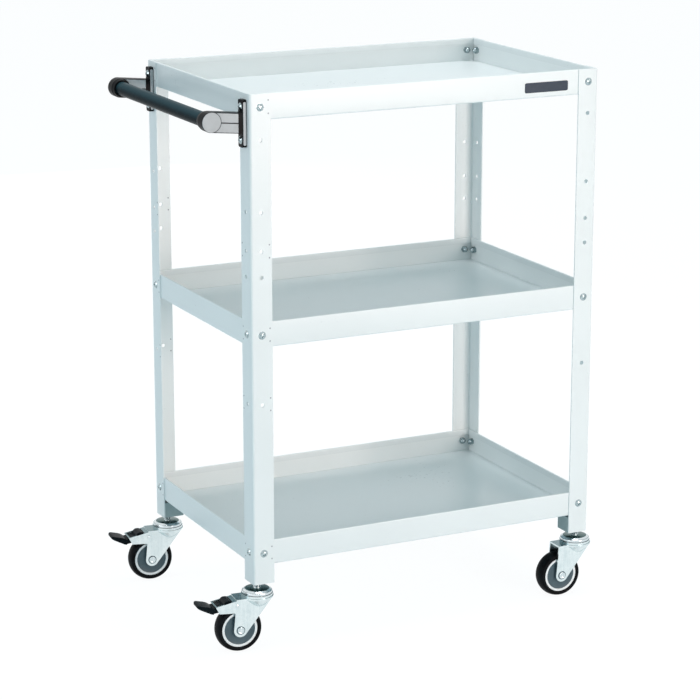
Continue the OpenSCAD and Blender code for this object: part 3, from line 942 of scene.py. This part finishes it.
@dataclass
class MakersPlate:
    """The blank plate on the front wall of the top tray, near its right end."""

    shop: Workshop
    from_right: float = 93.0 * MM
    from_top: float = 23.5 * MM
    half: float = 39.0 * MM
    tall: float = 8.0 * MM
    thick: float = 0.4 * MM
    corner: float = 3.2 * MM
    bevel: float = 0.12 * MM
    sunk: float = 0.1 * MM

    def build(self) -> None:
        """Builds the plate as rings round its middle, from its back to its face."""
        half, tall, r = self.half, self.tall, self.corner
        low, high = ends("tray_top")
        right = float(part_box("post_front_right")[1][0])
        centre = np.array([right - self.from_right, low[1], high[2] - self.from_top])
        outline = rounded_path([(-half, -tall, r), (half, -tall, r), (half, tall, r),
                                (-half, tall, r)], 6)
        face = outline * (1 - self.bevel / np.array([half, tall]))
        point = np.zeros_like(outline)
        rings = [np.stack([ring[:, 0], np.full(len(ring), -depth), ring[:, 1]], -1)
                 for ring, depth in ((point, -self.sunk), (outline, -self.sunk),
                                     (outline, self.thick - self.bevel), (face, self.thick),
                                     (point, self.thick))]
        piece = turned("tray_top_plate", [np.stack(rings) + centre])
        self.shop.dress(piece, Finish.PLATE)
        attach(piece, "cart")
        slot_of("handle_grip")


@dataclass
class PostPips:
    """The pips near the free edges of the left posts' flanges.

    They stand in pairs about the screws and two spare rows of holes. Where no tray lies against
    the flange, they show on its inner face too.
    """

    shop: Workshop
    radius: float = 1.3 * MM
    rise: float = 0.5 * MM
    gap: float = 10.0 * MM
    inset: float = 4.0 * MM
    screw_drop: float = 20.0 * MM
    spare_above: float = 130.0 * MM
    spare_below: float = 110.0 * MM
    columns: int = 20
    ring_radii: Sequence[float] = (1.0, 1.0, 0.8, 0.45, 0.0)
    ring_rises: Sequence[float] = (-0.2, 0.0, 0.55, 0.9, 1.0)
    crease: float = 60.0

    def pip(self, centre: np.ndarray, across: np.ndarray, out: np.ndarray) -> np.ndarray:
        """Makes one pip.

        Args:
            centre: its middle on the flange.
            across: the level direction along the flange.
            out: the direction away from the flange.

        Returns:
            Points, rows by columns by 3.
        """
        turn = around(self.columns)[None, :]
        reach = self.radius * np.array(self.ring_radii)[:, None]
        height = self.rise * np.array(self.ring_rises)[:, None]
        spread = (reach * np.cos(turn))[..., None] * across
        climb = (reach * np.sin(turn))[..., None] * [0, 0, 1]
        raised = np.broadcast_to(height, (len(height), self.columns))[..., None] * out
        return centre + spread + climb + raised

    def build(self) -> None:
        """Builds all the pips as one piece."""
        screws = [ends(f"tray_{tier}")[1][2] - self.screw_drop for tier in TIERS]
        spare = [screws[1] + self.spare_above, screws[1] - self.spare_below]
        tray = ends("tray_top")
        shells = []
        for corner in ("front_left", "back_left"):
            post = np.array(ends(f"post_{corner}"))
            for along, facing in ((0, 1), (1, 0)):
                free = 1 if post[:, along].sum() < (tray[0] + tray[1])[along] else 0
                outer = 0 if post[:, facing].sum() < (tray[0] + tray[1])[facing] else 1
                out = np.zeros(3)
                out[facing] = 2.0 * outer - 1.0
                for wall, normal, rows in ((post[outer][facing], out, screws + spare),
                                           (tray[outer][facing], -out, spare)):
                    for level in (row + side for row in rows for side in (-self.gap, self.gap)):
                        centre = np.zeros(3)
                        centre[along] = post[free][along] + self.inset * (1 - 2 * free)
                        centre[facing], centre[2] = wall, level
                        shells.append(self.pip(centre, np.eye(3)[along], normal))
        piece = turned("post_pips", shells, self.crease)
        self.shop.dress(piece, Finish.RUBBED)
        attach(piece, "cart")
        slot_of("post_front_left")


@dataclass
class Cabinet:
    """The four posts, the three trays and what bolts them together."""

    shop: Workshop

    def build(self) -> None:
        """Dresses posts, trays and fasteners."""
        for corner in CORNERS:
            self.shop.softened(f"post_{corner}", Finish.COAT, 0.35 * MM)
            self.shop.softened(f"caster_seat_{corner}", Finish.SEAT, 0.3 * MM)
        for tier in TIERS:
            self.shop.softened(f"tray_{tier}", Finish.PAN, 0.2 * MM)
        for node in ("cap_nuts", "handle_bolts"):
            self.shop.softened(node, Finish.BRIGHT, 0.15 * MM)
        TrussScrews(self.shop).build()
        self.shop.softened("caster_nuts", Finish.STEM, 0.3 * MM)
        MakersPlate(self.shop).build()
        PostPips(self.shop).build()


@dataclass
class PushHandle:
    """The moulded brackets, their panels and the grip."""

    shop: Workshop

    def build(self) -> None:
        """Dresses the handle."""
        for side in ("front", "back"):
            self.shop.softened(f"handle_bracket_{side}", Finish.BRACKET, 0.9 * MM, segments=3)
            self.shop.softened(f"handle_trim_{side}", Finish.PANEL, 0.35 * MM)
        self.shop.softened("handle_grip", Finish.GRIP, 0.4 * MM)
        self.shop.softened("handle_tube", Finish.STEM, 0.2 * MM)


@dataclass
class Caster:
    """One swivel caster with its wheel and, at the handle's end, its brake."""

    shop: Workshop
    corner: str
    wheel_radius: float = 37.5 * MM
    tyre_half: float = 12.0 * MM
    tyre_shoulder: float = 1.3 * MM
    tyre_step: float = 0.35 * MM
    tread_points: int = 25
    rim_radius: float = 28.9 * MM
    rim_gap: float = 0.05 * MM
    crown_radius: float = 25.5 * MM
    rivet_head: float = 1.8 * MM
    rivet_columns: int = 72
    tyre_columns: int = 128
    pin: float = 6.0 * MM
    pin_gap: float = 0.4 * MM
    foot: float = 3.0 * MM
    foot_edge: float = 0.5 * MM
    thread_pitch: float = 1.75 * MM
    thread_depth: float = 0.75 * MM
    thread_gap: float = 0.6 * MM
    thread_runout: int = 6
    rows_per_pitch: int = 8
    stem_columns: int = 64
    stem_chamfer: float = 1.0 * MM

    def axle_place(self) -> Place:
        """Returns the wheel's centre, with out along the trail and across along the axle."""
        spin, swivel = joint(f"spin_{self.corner}"), joint(f"swivel_{self.corner}")
        centre = np.array(spin["pos_m"], float)
        across = np.array(spin["axis"], float)
        up = np.array([0.0, 0.0, 1.0])
        out = np.cross(across, up)
        trail = centre - np.array(swivel["pos_m"], float)
        return Place(centre, out if out @ trail > 0 else -out, across, up)

    def tyre_profile(self) -> np.ndarray:
        """Returns the tyre's section: a crowned tread, round shoulders and flat stepped sides."""
        wide, low = self.tyre_half, self.tyre_half - self.tyre_step
        half = wide - self.tyre_shoulder
        w = np.linspace(-half, half, self.tread_points)
        drop = self.crown_radius - np.sqrt(self.crown_radius ** 2 - w ** 2)
        tread = self.wheel_radius - drop
        edge = tread[-1]
        inner = self.rim_radius + self.rim_gap
        side = rounded_path([
            (edge, half, 0.0), (edge - 0.9 * MM, wide, 1.2 * MM),
            (inner + 2.6 * MM, wide, 0.4 * MM), (inner + 2.2 * MM, low, 0.3 * MM),
            (inner + 1.6 * MM, low, 0.6 * MM), (inner + 0.5 * MM, wide - 1.1 * MM, 0.4 * MM),
            (inner, wide - 1.2 * MM, 0.0)], 4, closed=False)
        return np.concatenate([np.stack([tread, w], 1), side[1:], (side[::-1] * [1, -1])[:-1]])

    def axle_profiles(self) -> tuple[np.ndarray, np.ndarray]:
        """Returns two sections: the axle with its dished rivet heads, and one dark ring of painted shade under
        them.
        """
        low, high = ends("axle_front_right")
        top = (high[1] - low[1]) / 2
        face = top - self.rivet_head
        head = rounded_path([
            (4.0 * MM, face, 0.0), (5.7 * MM, face, 0.0), (5.7 * MM, top, 0.7 * MM),
            (3.9 * MM, top, 0.4 * MM), (3.3 * MM, top - 0.5 * MM, 0.5 * MM),
            (1.6 * MM, top - 0.5 * MM, 0.6 * MM), (0.0, top - 0.3 * MM, 0.0)], 5, closed=False)
        shadow_ring = rounded_path([
            (5.0 * MM, face - 0.05 * MM, 0.0), (7.0 * MM, face - 0.05 * MM, 0.0),
            (7.0 * MM, face + 0.6 * MM, 0.3 * MM), (5.0 * MM, face + 0.4 * MM, 0.0)], 4)
        return np.concatenate([head, head[::-1] * [1, -1]]), shadow_ring

    def stem_surface(self) -> np.ndarray:
        """Returns the points of the stem: a riveted foot, a plain pin and a screw thread.

        On the thread the radius is r - d * (1 - |2 frac(z / p - a / 2 pi) - 1|) for the pitch p
        and the depth d. It starts above the head.
        """
        low, high = ends(f"caster_stem_{self.corner}")
        head = float(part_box(f"caster_head_{self.corner}")[1][2])
        middle, reach = (low + high) / 2, (high[0] - low[0]) / 2
        foot_top = low[2] + self.foot
        steps = int(round((high[2] - head) / (self.thread_pitch / self.rows_per_pitch)))
        foot = np.array([
            (low[2], 0.0), (low[2], reach - self.foot_edge), (low[2] + self.foot_edge, reach),
            (foot_top, reach), (foot_top, self.pin), (head + self.pin_gap, self.pin)])
        thread = np.linspace(head + self.thread_gap, high[2] - self.stem_chamfer, steps)
        z = np.concatenate([foot[:, 0], thread, [high[2], high[2]]])
        r = np.concatenate([foot[:, 1], np.full(steps, self.pin),
                            [self.pin - self.stem_chamfer, 0.0]])
        angle = around(self.stem_columns)
        turn = z[:, None] / self.thread_pitch - angle[None, :] / FULL_TURN
        groove = 1 - np.abs(2 * (turn - np.floor(turn)) - 1)
        cut = np.zeros(len(z))
        cut[len(foot):len(foot) + steps] = self.thread_depth * np.minimum(
            1.0, np.arange(steps) / self.thread_runout)
        radius = r[:, None] - cut[:, None] * groove
        return np.stack([middle[0] + radius * np.cos(angle), middle[1] + radius * np.sin(angle),
                         np.broadcast_to(z[:, None], radius.shape)], -1)

    def build(self) -> None:
        """Builds and dresses the caster."""
        shop, corner = self.shop, self.corner
        place = self.axle_place()
        tyre = revolve(f"tyre_{corner}_rubber", place, self.tyre_profile(), self.tyre_columns)
        shop.dress(tyre, Finish.TYRE)
        shop.stand_for(tyre, f"tyre_{corner}")
        shop.softened(f"wheel_core_{corner}", Finish.RING, 0.5 * MM)
        shop.softened(f"wheel_covers_{corner}", Finish.DISC, 0.2 * MM)
        shop.softened(f"fork_{corner}", Finish.ZINC, 0.5 * MM)
        shop.softened(f"caster_head_{corner}", Finish.HEAD, 0.4 * MM)
        stem = turned(f"caster_stem_{corner}_threaded", [self.stem_surface()])
        shop.dress(stem, Finish.STEM)
        shop.stand_for(stem, f"caster_stem_{corner}")
        shop.node(f"bearing_balls_{corner}", Finish.BRIGHT)
        self.axle(place)
        if corner.endswith("left"):
            shop.softened(f"brake_pedal_{corner}", Finish.PEDAL, 0.8 * MM, segments=3)
            shop.softened(f"brake_shoe_{corner}", Finish.STEM, 0.2 * MM)
            shop.softened(f"brake_pin_{corner}", Finish.RIVET, 0.2 * MM)
        LOG.info("caster %s done", corner)

    def axle(self, place: Place) -> None:
        """Builds the axle and the dark rings of painted shade under its rivet heads.

        Args:
            place: the wheel's centre.
        """
        shop, corner = self.shop, self.corner
        section, rim = self.axle_profiles()
        axle = revolve(f"axle_{corner}_riveted", place, section, self.rivet_columns)
        shop.dress(axle, Finish.RIVET)
        shop.stand_for(axle, f"axle_{corner}")
        # Dark rings under both rivet heads: painted shade round them.
        for end, mirror in (("outer", 1), ("inner", -1)):
            shadow_ring = revolve(f"axle_{corner}_{end}_collar", place, rim[::mirror] * [1, mirror],
                             self.rivet_columns)
            shop.dress(shadow_ring, Finish.COLLAR)
            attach(shadow_ring, body_of(f"axle_{corner}"))
            slot_of(f"axle_{corner}")


# ---- studio ----


@dataclass(frozen=True)
class Lamp:
    """A square soft lamp: its name, its place, the point it faces, its side, watts and colour."""

    name: str
    spot: Point
    aim: Point
    size: float
    power: float
    colour: Colour
    mirrored: bool = True

    def hang(self) -> None:
        """Hangs the lamp; one that isn't mirrored leaves no highlight."""
        data = bpy.data.lights.new(self.name, "AREA")
        data.shape = "SQUARE"
        data.size = self.size
        data.energy = self.power
        data.color = self.colour
        lamp = bpy.data.objects.new(self.name, data)
        lamp.location = self.spot
        facing = Vector(self.aim) - Vector(self.spot)
        lamp.rotation_euler = facing.to_track_quat("-Z", "Y").to_euler()
        lamp.visible_glossy = self.mirrored
        bpy.context.scene.collection.objects.link(lamp)


@dataclass
class Studio:
    """The floor, the sky, the lamps and the camera.

    The eye is measured from the front left post's lower outer corner, the lamps from the frame.
    """

    eye: Point = (-1.510, -3.401, 1.357)
    turn: float = 26.24
    tilt: float = 14.73
    focal: float = 130.2
    sensor: float = 36.0
    far: float = 100.0
    floor_size: float = 30.0
    floor_low: Colour = (0.50, 0.66, 0.72)
    floor_high: Colour = (0.52, 0.68, 0.74)
    floor_cloud: Grain = Grain(0.8)
    glow: float = 1.125
    glow_share: float = 0.84
    ambient: float = 0.40
    ambient_colour: Colour = (0.70, 0.99, 1.07)
    lamps: Sequence[Lamp] = (
        Lamp("key", (1.18, -3.60, 0.92), (0.0, 0.0, 0.5), 1.55, 84.0, (1.0, 0.820, 0.758)),
        Lamp("side", (-4.6, -0.5, 1.9), (0.0, 0.0, 0.7), 2.6, 57.0, (1.0, 0.945, 0.97)),
        Lamp("top", (0.3, 0.0, 4.2), (0.0, 0.0, 0.6), 1.4, 71.0, (1.0, 0.965, 0.98)),
        Lamp("back", (0.5, 3.80, 0.50), (0.0, 0.0, 0.5), 1.55, 34.0, (1.0, 0.85, 0.79), False),
    )

    def camera(self) -> None:
        """Sets the camera; it looks along (sin turn cos tilt, cos turn cos tilt, -sin tilt)."""
        turn, tilt = math.radians(self.turn), math.radians(self.tilt)
        look = Vector((math.sin(turn) * math.cos(tilt), math.cos(turn) * math.cos(tilt),
                       -math.sin(tilt)))
        data = bpy.data.cameras.new("camera")
        data.lens = self.focal
        data.sensor_width = self.sensor
        data.clip_end = self.far
        camera = bpy.data.objects.new("camera", data)
        camera.location = Vector(ends("post_front_left")[0]) + Vector(self.eye)
        camera.rotation_euler = look.to_track_quat("-Z", "Y").to_euler()
        bpy.context.scene.collection.objects.link(camera)
        bpy.context.scene.camera = camera

    def floor(self) -> None:
        """Lays a pale floor that keeps the cart's soft shadow; it looks nearly white by itself."""
        size = self.floor_size
        verts = np.array([[-size, -size, 0], [size, -size, 0], [size, size, 0], [-size, size, 0]])
        floor = smooth_mesh("floor", verts, np.array([[0, 1, 2, 3]]))
        s = Shader("floor_pale")
        path = s.node("ShaderNodeLightPath")
        cloud = s.noise(self.floor_cloud).band(*CLOUD_BAND)
        tone = s.blend(cloud, self.floor_low, self.floor_high)
        matt = s.node("ShaderNodeBsdfDiffuse", Color=tone)
        glow = s.node("ShaderNodeEmission", Color=(*WHITE, 1.0), Strength=self.glow)
        seen, mirrored, through = (Value(s.tree, path.outputs[f"Is {kind} Ray"])
                                   for kind in ("Camera", "Glossy", "Transmission"))
        share = (seen + mirrored + through) * self.glow_share
        mix = s.node("ShaderNodeMixShader")
        s.tree.links.new(share.socket, mix.inputs[0])
        s.tree.links.new(matt.outputs[0], mix.inputs[1])
        s.tree.links.new(glow.outputs[0], mix.inputs[2])
        s.node("ShaderNodeOutputMaterial", Surface=mix.outputs[0])
        floor.data.materials.append(s.material)

    def sky(self) -> None:
        """Sets an even cool ambient light; the sky itself looks white."""
        world = bpy.data.worlds.new("studio")
        world.use_nodes = True
        tree = world.node_tree
        tree.nodes.clear()
        path = tree.nodes.new("ShaderNodeLightPath")
        white = (Value(tree, path.outputs["Is Camera Ray"])
                 + Value(tree, path.outputs["Is Glossy Ray"]))
        mix = tree.nodes.new("ShaderNodeMixShader")
        tree.links.new(white.socket, mix.inputs[0])
        for place, colour, strength in ((1, self.ambient_colour, self.ambient), (2, WHITE, 1.0)):
            light = tree.nodes.new("ShaderNodeBackground")
            light.inputs["Color"].default_value = (*colour, 1.0)
            light.inputs["Strength"].default_value = strength
            tree.links.new(light.outputs[0], mix.inputs[place])
        out = tree.nodes.new("ShaderNodeOutputWorld")
        tree.links.new(mix.outputs[0], out.inputs[0])
        bpy.context.scene.world = world

    def build(self) -> None:
        """Sets up the studio."""
        self.camera()
        self.floor()
        self.sky()
        for lamp in self.lamps:
            lamp.hang()
        bpy.context.scene.view_settings.view_transform = "Standard"


def main() -> None:
    """Builds the whole scene."""
    logging.basicConfig(level=logging.INFO, format="%(name)s: %(message)s")
    shop = Workshop()
    Studio().build()
    Cabinet(shop).build()
    PushHandle(shop).build()
    for corner in CORNERS:
        Caster(shop, corner).build()
    LOG.info("scene built")


if __name__ == "__main__":
    main()
